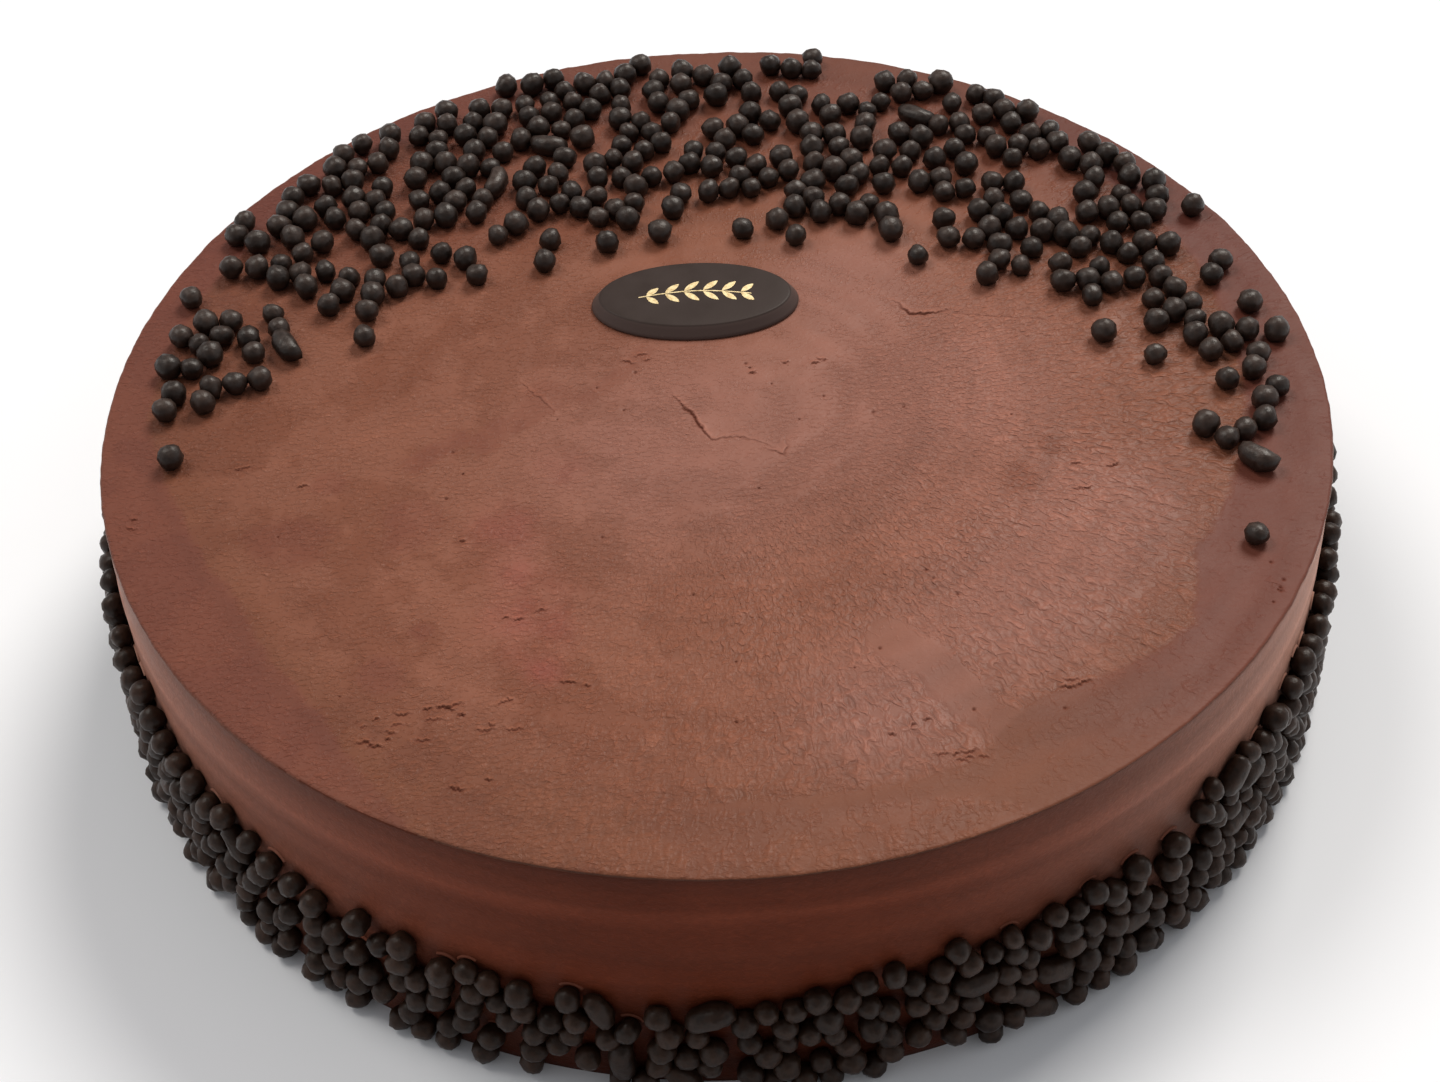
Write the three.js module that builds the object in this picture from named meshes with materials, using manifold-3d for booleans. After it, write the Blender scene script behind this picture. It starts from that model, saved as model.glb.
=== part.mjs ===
// A round chocolate cake, coated all over in chocolate cream and left whole.
// Crunchy chocolate pearls are strewn in a crescent over the back of its top and pressed in a band
// round the foot of its side, and a thin oval plaque of dark chocolate lies on the top.
// Millimetres, +Z up. The origin is the middle of the base, and the front of the cake faces -Y.

import * as THREE from 'three';
import { mergeVertices } from 'three/addons/utils/BufferGeometryUtils.js';
import Module from 'manifold-3d';

const TURN = 2 * Math.PI;

// The coated cake
const CAKE_RADIUS = 130;
const CAKE_HEIGHT = 63;
const RIM_ROUNDING = 2.5;
const CAKE_SEGMENTS = 90;
const RIM_SEGMENTS = 3;

// The plaque: a moulded oval whose sides lean in towards its top face
const PLAQUE_LENGTH = 46;
const PLAQUE_WIDTH = 25.6;
const PLAQUE_THICKNESS = 3;
const PLAQUE_LEAN = 1.8;
const PLAQUE_FOOT = 0.5;
const PLAQUE_PLACE = { x: -3.4, y: 31.4 };
const PLAQUE_SEGMENTS = 48;

// The pearls. The largest of them are fused to the cake.
const PEARL_RADIUS = 2.55;
const PEARL_SPREAD = 0.13; // share by which a pearl may be smaller or larger
const PEARL_SINK = 0.5; // how deep a pearl sits in the cream
const TOUCHING = 1.01; // distance between two pearls that touch, as a share of their radii
const TWIN_STRETCH = 1.5; // two cores coated together make a pearl this much longer
const FUSED_PEARLS = 330;

// The crescent on the top: long twin pearls at x, y with their turn in degrees, then the pinches
// in which the pearls were let fall, each at x, y with the number of pearls in it.
const TOP_SEED = 2024;
const PINCH_TRIES = 90;
const PINCH_SPREAD = 1.25; // how far a pinch rolls apart, for the root of its number
const PINCH_LOOSENESS = 0.45; // the widest gap inside a pinch, as a share of two radii
const FIRST_STEP = 0.35; // a pinch whose middle is taken starts this much further out each try
const RIM_MARGIN = 4.5;
const PLAQUE_MARGIN = 4;
const TWINS = [[111, -28, -40], [51, 96, -35], [-37, 90, -20], [-49, 76, 75], [-93, 20, -60]];
const PINCHES = [
  // right-hand end, loosely strewn
  [107, -50, 1], [110, -19, 3], [102, -19, 1], [119, -6, 2], [109, -3, 1], [112, 9, 4], [101, 20, 6],
  [118, 22, 1], [122, 12, 1], [85, 14, 1], [95, 6, 1], [114, 37, 2],
  // right-hand clump
  [111, 57, 1], [90, 74, 7], [97, 58, 10], [81, 48, 8], [98, 44, 4], [87, 36, 7], [65, 40, 4], [47, 43, 1],
  [55, 66, 4], [66, 62, 6], [61, 76, 1], [54, 56, 1],
  // back right
  [72, 97, 6], [74, 83, 8], [60, 101, 1], [50, 111, 5], [52, 95, 4], [49, 83, 7], [35, 102, 5], [31, 90, 8],
  [30, 76, 5], [41, 58, 4], [35, 66, 1], [26, 60, 1],
  // back
  [22, 118, 4], [10, 114, 6], [21, 102, 3], [8, 95, 6], [18, 82, 2], [8, 75, 8], [-5, 113, 6], [-15, 122, 1],
  [-6, 102, 2], [-20, 112, 6], [-15, 98, 4], [-17, 82, 8], [-3, 80, 3], [-6, 69, 2], [16, 58, 1], [8, 55, 1],
  // back left
  [-33, 112, 6], [-41, 120, 2], [-43, 107, 3], [-36, 95, 5], [-40, 81, 5], [-50, 99, 5], [-67, 101, 6],
  [-58, 107, 4], [-56, 86, 6], [-62, 73, 4], [-60, 64, 2], [-34, 67, 6], [-23, 66, 4], [-44, 60, 2],
  [-36, 54, 1], [-23, 52, 1], [-11, 55, 1], [-37, 46, 1],
  // left-hand clump
  [-82, 84, 7], [-82, 72, 6], [-93, 78, 2], [-97, 68, 2], [-88, 56, 1], [-103, 57, 1], [-108, 48, 1],
  [-92, 45, 4], [-66, 56, 1], [-74, 50, 1], [-55, 48, 3], [-70, 39, 7], [-76, 22, 1],
  // left-hand end, loosely strewn
  [-116, 38, 1], [-106, 29, 3], [-95, 26, 2], [-115, 26, 1], [-118, 14, 2], [-108, 7, 3], [-100, 7, 1],
  [-117, 0, 2], [-114, -15, 1],
];

// The band on the side: pearls piled against the wall up to a height that dips at the front
const SIDE_SEED = 77;
const BAND_HEIGHT = 38;
const BAND_DIP = 9.5;
const BAND_DIP_AZIMUTH = THREE.MathUtils.degToRad(-100);
const BAND_DIP_WIDTH = THREE.MathUtils.degToRad(33);
const BAND_RIPPLE = 1.4;
const BAND_FOOT = 0.4; // clear space under the lowest pearls
const DROP_CHOICES = 9; // places tried for each pearl, of which the one with most room is taken
const DROPS_MISSED = 120; // the band is full after this many pearls found no room
const BARE_SHARE = 0.02; // share of places left bare
const BARE_SHARE_AT_DIP = 0.12; // further share left bare where the band dips
const SIDE_TWIN_SHARE = 0.04;

// Repeatable random numbers between 0 and 1
function randomFrom(seed) {
  let state = seed;
  return () => {
    state = (state * 16807) % 2147483647;
    return state / 2147483647;
  };
}

function pearlRadius(random) {
  return PEARL_RADIUS * (1 + PEARL_SPREAD * (random() + random() - 1));
}

// A place on the top is free if it is inside the rim, off the plaque and clear of other pearls
function freeOnTop(place, radius, pearls) {
  if (Math.hypot(place.x, place.y) > CAKE_RADIUS - RIM_MARGIN) return false;
  const alongPlaque = (place.x - PLAQUE_PLACE.x) / (PLAQUE_LENGTH / 2 + PLAQUE_MARGIN);
  const acrossPlaque = (place.y - PLAQUE_PLACE.y) / (PLAQUE_WIDTH / 2 + PLAQUE_MARGIN);
  if (Math.hypot(alongPlaque, acrossPlaque) < 1) return false;
  return pearls.every((other) => {
    const reach = other.radius * other.stretch;
    return Math.hypot(place.x - other.x, place.y - other.y) >= reach + radius;
  });
}

// Strew the top: each pinch starts at its middle and grows by pearls that come to rest against it
function strewTop() {
  const random = randomFrom(TOP_SEED);
  const pearls = TWINS.map(([x, y, degrees]) => ({
    x,
    y,
    radius: PEARL_RADIUS,
    stretch: TWIN_STRETCH,
    turn: THREE.MathUtils.degToRad(degrees),
  }));
  for (const [x, y, count] of PINCHES) {
    const pinch = [];
    const spread = PEARL_RADIUS * (1 + PINCH_SPREAD * Math.sqrt(count - 1));
    for (let attempt = 0; attempt < PINCH_TRIES && pinch.length < count; attempt++) {
      const radius = pearlRadius(random);
      const turn = TURN * random();
      const pick = random();
      const looseness = PINCH_LOOSENESS * random() ** 3;
      const beside = pinch[Math.floor(pick * pinch.length)];
      const step = beside ? (beside.radius + radius) * (TOUCHING + looseness) : FIRST_STEP * attempt;
      const from = beside ?? { x, y };
      const place = { x: from.x + step * Math.cos(turn), y: from.y + step * Math.sin(turn) };
      if (beside && Math.hypot(place.x - x, place.y - y) > spread) continue;
      if (!freeOnTop(place, radius, pearls)) continue;
      const pearl = { ...place, radius, stretch: 1, turn };
      pinch.push(pearl);
      pearls.push(pearl);
    }
  }
  return pearls;
}

// The smallest turn from one azimuth to another
function turnBetween(from, to) {
  const turn = to - from;
  return turn - TURN * Math.round(turn / TURN);
}

// How far the band dips at an azimuth: 1 at the front of the cake, 0 away from it
function bandDip(azimuth) {
  return Math.exp(-((turnBetween(BAND_DIP_AZIMUTH, azimuth) / BAND_DIP_WIDTH) ** 2));
}

function bandHeight(azimuth) {
  const ripple = Math.sin(9 * azimuth + 1) + 0.8 * Math.sin(23 * azimuth);
  return BAND_HEIGHT - BAND_DIP * bandDip(azimuth) + BAND_RIPPLE * ripple;
}

// The height at which a pearl dropped along the wall comes to rest on the foot or on other pearls
function restingHeight(azimuth, radius, pearls) {
  let height = BAND_FOOT + radius;
  for (const other of pearls) {
    const aside = (CAKE_RADIUS + PEARL_RADIUS) * turnBetween(other.azimuth, azimuth);
    const touch = TOUCHING * (other.radius * other.stretch + radius);
    if (Math.abs(aside) < touch) height = Math.max(height, other.height + Math.sqrt(touch ** 2 - aside ** 2));
  }
  return height;
}

// Pile pearls against the side until the band is full, leaving some places bare
function packSide() {
  const random = randomFrom(SIDE_SEED);
  const pearls = [];
  for (let missed = 0; missed < DROPS_MISSED; ) {
    const stretch = random() < SIDE_TWIN_SHARE ? TWIN_STRETCH : 1;
    let best = { room: -Infinity };
    for (let choice = 0; choice < DROP_CHOICES; choice++) {
      const radius = pearlRadius(random);
      const azimuth = TURN * random();
      const height = restingHeight(azimuth, radius * stretch, pearls);
      const room = bandHeight(azimuth) - height - radius;
      if (room > best.room) best = { room, azimuth, height, radius };
    }
    const turn = TURN * random();
    const bare = random() < BARE_SHARE + BARE_SHARE_AT_DIP * bandDip(best.azimuth);
    if (best.room < 0) missed++;
    else pearls.push({ ...best, stretch, turn, bare });
  }
  return pearls.filter((pearl) => !pearl.bare);
}

const wasm = await Module();
wasm.setup();

// A closed geometry as a solid that can be joined to others
function solidOf(geometry) {
  geometry.deleteAttribute('normal');
  geometry.deleteAttribute('uv');
  const merged = mergeVertices(geometry);
  const corners = merged.index.array;
  const triVerts = [];
  for (let i = 0; i < corners.length; i += 3) {
    const [a, b, c] = corners.slice(i, i + 3);
    if (a !== b && b !== c && c !== a) triVerts.push(a, b, c);
  }
  const vertProperties = merged.attributes.position.array;
  return new wasm.Manifold(new wasm.Mesh({ numProp: 3, vertProperties, triVerts: new Uint32Array(triVerts) }));
}

function geometryOf(solid) {
  const { vertProperties, triVerts } = solid.getMesh();
  const geometry = new THREE.BufferGeometry();
  geometry.setAttribute('position', new THREE.BufferAttribute(vertProperties, 3));
  geometry.setIndex(new THREE.BufferAttribute(triVerts, 1));
  geometry.computeVertexNormals();
  return geometry;
}

// The bare coated cake: a straight side, a flat top and base, and a rounded rim
function bareCake() {
  const profile = [new THREE.Vector2(0, 0), new THREE.Vector2(CAKE_RADIUS, 0)];
  for (let i = 0; i <= RIM_SEGMENTS; i++) {
    const angle = (i / RIM_SEGMENTS) * (Math.PI / 2);
    const out = CAKE_RADIUS - RIM_ROUNDING + RIM_ROUNDING * Math.cos(angle);
    const up = CAKE_HEIGHT - RIM_ROUNDING + RIM_ROUNDING * Math.sin(angle);
    profile.push(new THREE.Vector2(out, up));
  }
  profile.push(new THREE.Vector2(0, CAKE_HEIGHT));
  return new THREE.LatheGeometry(profile, CAKE_SEGMENTS).rotateX(Math.PI / 2);
}

// A pearl at the origin, standing on one of its corners along Z, longer along its own turn if a twin
function pearlShape({ radius, stretch, turn }) {
  const golden = (1 + Math.sqrt(5)) / 2;
  const pearl = new THREE.IcosahedronGeometry(radius).rotateX(Math.atan(1 / golden));
  return pearl.scale(stretch, 1, 1).rotateZ(turn);
}

function topPearl(pearl) {
  return pearlShape(pearl).translate(pearl.x, pearl.y, CAKE_HEIGHT + pearl.radius - PEARL_SINK);
}

function sidePearl(pearl) {
  const out = CAKE_RADIUS + pearl.radius - PEARL_SINK;
  return pearlShape(pearl).rotateY(Math.PI / 2).translate(out, 0, pearl.height).rotateZ(pearl.azimuth);
}

function cakeGeometry() {
  const pearls = [
    ...strewTop().map((pearl) => ({ ...pearl, shape: topPearl })),
    ...packSide().map((pearl) => ({ ...pearl, shape: sidePearl })),
  ];
  const largestFirst = pearls.sort((a, b) => b.radius * b.stretch - a.radius * a.stretch);
  const fused = largestFirst.slice(0, FUSED_PEARLS);
  const solids = [bareCake(), ...fused.map((pearl) => pearl.shape(pearl))].map(solidOf);
  return geometryOf(wasm.Manifold.union(solids));
}

// The plaque: a turned disc of the oval's width, drawn out along X to its length
function plaqueGeometry() {
  const half = PLAQUE_WIDTH / 2;
  const outline = [
    [0, 0],
    [half - PLAQUE_FOOT, 0],
    [half, PLAQUE_FOOT],
    [half - PLAQUE_LEAN / 3, PLAQUE_THICKNESS * 0.75],
    [half - PLAQUE_LEAN, PLAQUE_THICKNESS],
    [0, PLAQUE_THICKNESS],
  ];
  const profile = outline.map(([out, up]) => new THREE.Vector2(out, up));
  const plaque = new THREE.LatheGeometry(profile, PLAQUE_SEGMENTS).rotateX(Math.PI / 2);
  const corners = plaque.attributes.position;
  for (let i = 0; i < corners.count; i++) {
    const fromAxis = Math.hypot(corners.getX(i), corners.getY(i));
    if (fromAxis === 0) continue;
    const drawnOut = (PLAQUE_LENGTH - PLAQUE_WIDTH) / 2;
    corners.setX(i, corners.getX(i) * (1 + drawnOut / fromAxis));
  }
  plaque.computeVertexNormals();
  return plaque;
}

const creamFinish = new THREE.MeshStandardMaterial({ color: 0x8c5f4d, roughness: 0.6, metalness: 0 });
const plaqueFinish = new THREE.MeshStandardMaterial({ color: 0x3c302c, roughness: 0.35, metalness: 0 });

const cake = new THREE.Mesh(cakeGeometry(), creamFinish);
cake.name = 'cake';

const plaque = new THREE.Mesh(plaqueGeometry(), plaqueFinish);
plaque.name = 'plaque';
plaque.position.set(PLAQUE_PLACE.x, PLAQUE_PLACE.y, CAKE_HEIGHT);

const group = new THREE.Group();
group.add(cake, plaque);

export default group;
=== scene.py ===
import math

import bmesh
import bpy
import numpy as np
from mathutils import Euler, Matrix, Vector, noise


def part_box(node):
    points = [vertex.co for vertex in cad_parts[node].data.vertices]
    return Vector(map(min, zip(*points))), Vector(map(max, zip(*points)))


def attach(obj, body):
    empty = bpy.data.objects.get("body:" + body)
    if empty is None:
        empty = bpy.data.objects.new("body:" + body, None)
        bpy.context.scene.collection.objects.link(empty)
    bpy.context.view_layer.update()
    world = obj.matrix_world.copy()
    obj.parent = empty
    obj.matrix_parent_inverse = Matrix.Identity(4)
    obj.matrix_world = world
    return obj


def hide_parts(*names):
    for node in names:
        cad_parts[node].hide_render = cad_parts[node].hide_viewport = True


# The fixed frame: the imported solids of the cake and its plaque, in metres, with +Z up.
# The cake's radius is read at its foot, and its height where the plaque rests on its top.
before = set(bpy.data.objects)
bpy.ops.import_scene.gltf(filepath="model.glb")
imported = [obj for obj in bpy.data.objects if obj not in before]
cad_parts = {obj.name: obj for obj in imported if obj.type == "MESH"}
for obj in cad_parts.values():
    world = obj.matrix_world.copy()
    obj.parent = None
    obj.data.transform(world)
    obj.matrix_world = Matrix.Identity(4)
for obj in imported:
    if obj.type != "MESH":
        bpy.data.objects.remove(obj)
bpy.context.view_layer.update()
MM = 0.001
cake_corners = np.array([vertex.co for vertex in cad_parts["cake"].data.vertices])
foot_corners = cake_corners[cake_corners[:, 2] < 0.1 * MM]
cake_radius = float(np.hypot(foot_corners[:, 0], foot_corners[:, 1]).max())
cake_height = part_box("plaque")[0].z

# The coat of chocolate cream, which covers the whole cake and is spread with a palette knife.
# The knife leaves faint rings and raked wrinkles on the flat top, a lapped crack near the middle, small
# tears and pits, and a crisp, slightly ragged rim. The side is drawn round with a scraper.
RIM_ROUNDING = 0.8
RIM_ROWS = 4
TOP_RINGS = 122
SIDE_STEP = 1.7
radius_mm = round(cake_radius / MM, 3)
height_mm = round(cake_height / MM, 3)


def coat_surface():
    """The bare coat: a disc whose ring number k holds 6 k corners, a rounded rim, a wall and a flat foot."""
    corners = []
    faces = []

    def add_ring(out, up, number):
        for i in range(number):
            angle = math.tau * i / number
            corners.append((out * math.cos(angle), out * math.sin(angle), up))
        return len(corners) - number

    def add_band(above, out, up, number):
        below = add_ring(out, up, number)
        for i in range(number):
            j = (i + 1) % number
            faces.append((above + i, below + i, below + j, above + j))
        return below

    above = add_ring(0, height_mm, 1)
    for ring in range(1, TOP_RINGS + 1):
        outer = 6 * ring
        inner = max(outer - 6, 1)
        below = add_ring((radius_mm - RIM_ROUNDING) * ring / TOP_RINGS, height_mm, outer)
        for i in range(outer):
            sector, step = divmod(i, ring)
            a = above + (i - sector) % inner
            b = below + (i + 1) % outer
            faces.append((a, below + i, b))
            if step < ring - 1:
                faces.append((a, b, above + (i - sector + 1) % inner))
        above = below
    for row in range(1, RIM_ROWS + 1):
        angle = math.pi / 2 * row / RIM_ROWS
        out = radius_mm - RIM_ROUNDING * (1 - math.sin(angle))
        above = add_band(above, out, height_mm - RIM_ROUNDING * (1 - math.cos(angle)), outer)
    # The wall has half as many corners round it
    wall_height = height_mm - RIM_ROUNDING
    wall_rows = round(wall_height / SIDE_STEP)
    half = outer // 2
    below = add_ring(radius_mm, wall_height * (1 - 1 / wall_rows), half)
    for i in range(half):
        j = (i + 1) % half
        middle = above + 2 * i + 1
        faces.append((above + 2 * i, below + i, middle))
        faces.append((middle, below + i, below + j))
        faces.append((middle, below + j, above + 2 * j))
    for row in range(2, wall_rows + 1):
        below = add_band(below, radius_mm, wall_height * (1 - row / wall_rows), half)
    faces.append(tuple(range(below + half - 1, below - 1, -1)))
    return corners, faces


def mesh_of(name, corners, faces):
    mesh = bpy.data.meshes.new(name)
    mesh.from_pydata(corners, [], faces)
    return mesh


# Tears and pits lie in clusters: middle x and y, spread along x and y, and how many
TEAR_CLUSTERS = [
    (-61, -90, 8, 5.5, 13), (-52, -89, 4, 3.5, 5), (-43, -92, 3, 1.5, 3), (-47, -106, 4, 1.5, 3),
    (-43, -85, 3, 2, 2), (-28, -81, 3, 1.5, 2), (-38, -66, 5, 5, 3), (35.5, -95, 3.5, 1.5, 2),
    (30, -98, 2, 1, 1), (43.5, -103.5, 4, 1.2, 6), (66, -86, 4, 2, 3), (20, 8, 7, 4, 4), (9, 7, 1.5, 2, 2),
    (-17, 14, 4, 3, 3), (76, -28, 6, 6, 4), (-99, -17.5, 2, 1, 2), (-120, -33, 1.5, 2, 2),
    (-86, -24, 2, 1, 1), (-53, -41, 2, 2, 1),
]
PIT_CLUSTERS = [
    (10, 7, 3, 4, 4), (-30, -40, 60, 55, 12), (50, -50, 50, 45, 12), (-18, 4, 8, 8, 3), (109, -63, 2, 9, 6),
]
# Cream lapped over itself: the height of the raised cream and the depth of the cut, how dark the cut (painted
# shade) and how pale the lip (painted light) show, how coarse the mesh is, the path, raised on its left, and
# the strength along it
LAPS = [
    # the crack near the middle, and the hook at its end
    (
        0.35, 0.2, 1, 1, 1,
        [
            (-9, 2), (-8, -1), (-5, -5), (-3, -9.5), (-0.7, -13.8), (1.5, -13.2), (4.5, -13), (8.5, -14.5),
            (12, -17),
        ],
        (0.1, 0.5, 1, 1, 0.7, 0.4, 0.35, 0.3, 0.1),
    ),
    (0.25, 0.15, 0.8, 1, 1, [(11, -17.5), (14, -19), (15, -17), (14.5, -13.5)], (0.3, 0.6, 0.7, 0.4, 0.1)),
    # a small fold to the left of the plaque's foot
    (0.2, 0.06, 0.25, 0.6, 1, [(-42.5, 9), (-39.3, 3.9), (-36, 0.1), (-33.8, -3.2)], (0.2, 0.7, 1, 0.4)),
    # the start of the long lap on the right, and its run
    (0.32, 0.22, 0.9, 1, 1, [(41, 29), (44, 25.5), (48, 25), (52, 26)], (0.3, 1, 0.9, 0.4)),
    (
        0.28, 0.15, 0.5, 0.5, 1.6,
        [(90, 20.5), (81, 20.5), (71, 21.5), (62, 23), (52, 25)],
        (0.15, 0.45, 0.6, 0.75, 0.6),
    ),
]
LAP_REACH = 1.8
# Spans that the size of a tear or pit is drawn from, and the waves along a tear: height, rate and phase
TEAR_HALF_LENGTH = (0.8, 2.3)
TEAR_DEGREES = (-20, 25)
TEAR_DEPTH = (0.12, 0.25)
TEAR_WIDTH = 0.17
TEAR_WAVES = [(0.2, 1.9, 1), (0.14, 4.7, 3), (0.08, 9.1, 7)]
PIT_WIDTH = (0.2, 0.38)
PIT_DEPTH = 0.35
# The mesh is split in rounds, each within this reach of a mark, a tear reaching further along its run
FINER_WITHIN = (2.2, 1.4, 0.7)
TEAR_NEARNESS = (0.4, 1)
PIT_NEARNESS = 1.6


def scatter_in(clusters, seed):
    """Places drawn round the middle of each cluster."""
    draw = np.random.RandomState(seed)
    places = []
    for x, y, spread_x, spread_y, number in clusters:
        for _ in range(number):
            places.append((x + spread_x * draw.uniform(-1, 1), y + spread_y * draw.uniform(-1, 1)))
    return np.array(places)


def beside_path(points, path):
    """Signed distance of each point from a path, left of its run being positive, and the share run."""
    path = np.array(path, float)
    lengths = np.hypot(*(path[1:] - path[:-1]).T)
    starts = np.concatenate([[0], np.cumsum(lengths)])
    nearest = np.full(len(points), np.inf)
    signed = np.full(len(points), np.inf)
    share = np.zeros(len(points))
    for start, end, length, run in zip(path[:-1], path[1:], lengths, starts):
        along = (end - start) / length
        offset = points - start
        t = np.clip(offset @ along, 0, length)
        distance = np.hypot(*(offset - t[:, None] * along).T)
        left = along[0] * offset[:, 1] - along[1] * offset[:, 0]
        closer = distance < nearest
        nearest[closer] = distance[closer]
        signed[closer] = np.where(left >= 0, distance, -distance)[closer]
        share[closer] = (run + t[closer]) / starts[-1]
    return signed, share


def fade(values, start, end):
    """Runs smoothly from 0 at the start to 1 at the end."""
    share = np.clip((values - start) / (end - start), 0, 1)
    return share * share * (3 - 2 * share)


def hump(values, middle, width):
    """Rises smoothly to 1 at the middle and is almost 0 at twice the width on either side."""
    return np.exp(-(((values - middle) / width) ** 2))


def waver(points, size, seed):
    """Smooth noise between -1 and 1 at each point, with waves of about the given size."""
    shift = Vector((seed * 7.3, seed * 3.1, seed * 5.7))
    return np.array([noise.noise(Vector(point) / size + shift) for point in points])


def waves(points, layers):
    """Adds up layers of smooth noise, each given by its height, the size of its waves and a seed."""
    return sum(height * waver(points, size, seed) for height, size, seed in layers)


def lapped(signed, share, height, groove, strengths):
    """Cream lapped over itself beside a path: its relief, the depth in the cut, and the pale lip."""
    strength = np.interp(share, np.linspace(0, 1, len(strengths)), strengths)
    raised = np.where(signed >= 0, height * np.exp(-np.abs(signed) / LAP_REACH), 0)
    cut = hump(signed, -0.1, 0.12 + 0.24 * strength)
    lip = hump(signed, 0.5, 0.4)
    return strength * (raised - groove * cut), strength * cut, strength * lip


def torn(points, places, seed):
    """Short wavy tears across the knife's stroke, with a raised lip behind each: relief, cut and lip."""
    draw = np.random.RandomState(seed)
    relief, cuts, lips = np.zeros((3, len(points)))
    for place in places:
        half = draw.uniform(*TEAR_HALF_LENGTH)
        angle = math.radians(draw.uniform(*TEAR_DEGREES))
        depth = draw.uniform(*TEAR_DEPTH)
        phase = draw.uniform(0, math.tau)
        offset = points - place
        u = offset @ np.array([math.cos(angle), math.sin(angle)])
        v = offset @ np.array([-math.sin(angle), math.cos(angle)])
        v -= sum(size * np.sin(rate * u + times * phase) for size, rate, times in TEAR_WAVES)
        window = np.clip(1 - (u / half) ** 2, 0, 1)
        cut = window * hump(v, 0, TEAR_WIDTH)
        lip = window * hump(v, 0.5, 0.3)
        relief += depth * (1.2 * lip - cut)
        cuts = np.maximum(cuts, cut)
        lips = np.maximum(lips, lip)
    return relief, cuts, lips


def pitted(points, places, seed):
    """Small round air pits: how deep in a pit each point lies."""
    draw = np.random.RandomState(seed)
    cuts = np.zeros(len(points))
    for place in places:
        distance = np.hypot(*(points - place).T)
        cuts = np.maximum(cuts, hump(distance, 0, draw.uniform(*PIT_WIDTH)))
    return cuts


def patches(points, places):
    """Adds up soft round patches, each 1 at its middle."""
    return sum(hump(np.hypot(*(points - (x, y)).T), 0, size) for x, y, size in places)


tears = scatter_in(TEAR_CLUSTERS, 11)
pits = scatter_in(PIT_CLUSTERS, 12)
coat_mesh = mesh_of("cream_coat", *coat_surface())
coat_bmesh = bmesh.new()
coat_bmesh.from_mesh(coat_mesh)
for reach in FINER_WITHIN:
    edges = [e for e in coat_bmesh.edges if all(v.co.z > height_mm - 0.01 for v in e.verts)]
    middles = np.array([((e.verts[0].co + e.verts[1].co) / 2).xy for e in edges])
    near = [np.abs(beside_path(middles, path)[0]) * coarseness for *_, coarseness, path, _ in LAPS]
    near += [np.hypot(*((middles - place) * TEAR_NEARNESS).T) for place in tears]
    near += [np.hypot(*(middles - place).T) * PIT_NEARNESS for place in pits]
    chosen = [edge for edge, distance in zip(edges, np.min(near, axis=0)) if distance < reach]
    bmesh.ops.subdivide_edges(coat_bmesh, edges=chosen, cuts=1, use_grid_fill=True)
coat_bmesh.to_mesh(coat_mesh)
coat_bmesh.free()

# Where each corner lies: its place, how far it is from the middle, and how far to the left, right or back
corners = np.array([vertex.co for vertex in coat_mesh.vertices])
spot = corners[:, :2].copy()
spot_x, spot_y = spot.T
level = np.column_stack([spot, np.zeros(len(spot))])
up = corners[:, 2].copy()
below_rim = height_mm - up
away = np.hypot(spot_x, spot_y)
azimuth = np.arctan2(spot_y, spot_x)
turned = np.degrees(azimuth)
outward = spot / np.maximum(away, 1e-6)[:, None]
on_top = fade(up, height_mm - RIM_ROUNDING, height_mm - 0.2 * RIM_ROUNDING)
near_rim = fade(away, radius_mm - 5, radius_mm - 0.5)
leftness = fade(-np.cos(azimuth), 0, 0.8)
rightness = fade(np.cos(azimuth), 0.4, 0.9)
behind = fade(0.8 * spot_y + 0.35 * np.abs(spot_x), 45, 110)
turning = np.column_stack([outward * 1.1, away / 9])
spokes = np.column_stack([outward * 51, 29 * np.log(np.maximum(away, 8) / 80)])
rings = np.column_stack([outward * radius_mm / 22, up])

# The knife smooths an outer ring, given by azimuth in degrees and inner and outer radius, a trail where it
# was lifted, and a few darker smears, given by half width and path. Their edges are uneven
SMOOTH_RING = [
    (-180, 121, 140), (-164, 114, 140), (-150, 111, 140), (-131, 116, 140), (-120, 126, 140),
    (-112, 134, 131), (-99, 134, 131), (-98, 115, 113), (-91, 112.2, 114.4), (-83, 112.2, 115.7),
    (-75, 113, 117.5), (-70, 114, 120), (-66, 113.5, 125), (-62, 110, 140), (-57, 107, 140), (-45, 114, 140),
    (-38, 116, 140), (-29, 108, 140), (-12, 111, 140), (20, 116, 140), (90, 120, 140), (180, 121, 140),
]
LIFT_TRAIL = (4.7, [(32, -72), (41, -81), (47, -92), (54, -97), (66, -95), (80, -88)])
SMEARS = [
    (2.1, [(-14.5, 16.2), (-18.9, 9.2), (-24.3, 4.3), (-27, 1.5)]),
    (3.2, [(-36.5, -0.5), (-41.2, -4.4), (-46.4, -8.5), (-48.5, -12)]),
    (2.6, [(-54.8, -10.5), (-59.8, -14.9), (-63, -18)]),
]
RING_SOFTNESS = 0.7
SMEAR_SOFTNESS = 0.9
uneven_edge = waves(level, [(0.9, 5, 27), (0.4, 1.5, 35)])


def within(half_width, path):
    """Runs from 0 outside a band along a path to 1 inside it."""
    from_edge = np.abs(beside_path(spot, path)[0]) + uneven_edge - half_width
    return 1 - fade(from_edge, -SMEAR_SOFTNESS, SMEAR_SOFTNESS)


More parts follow.
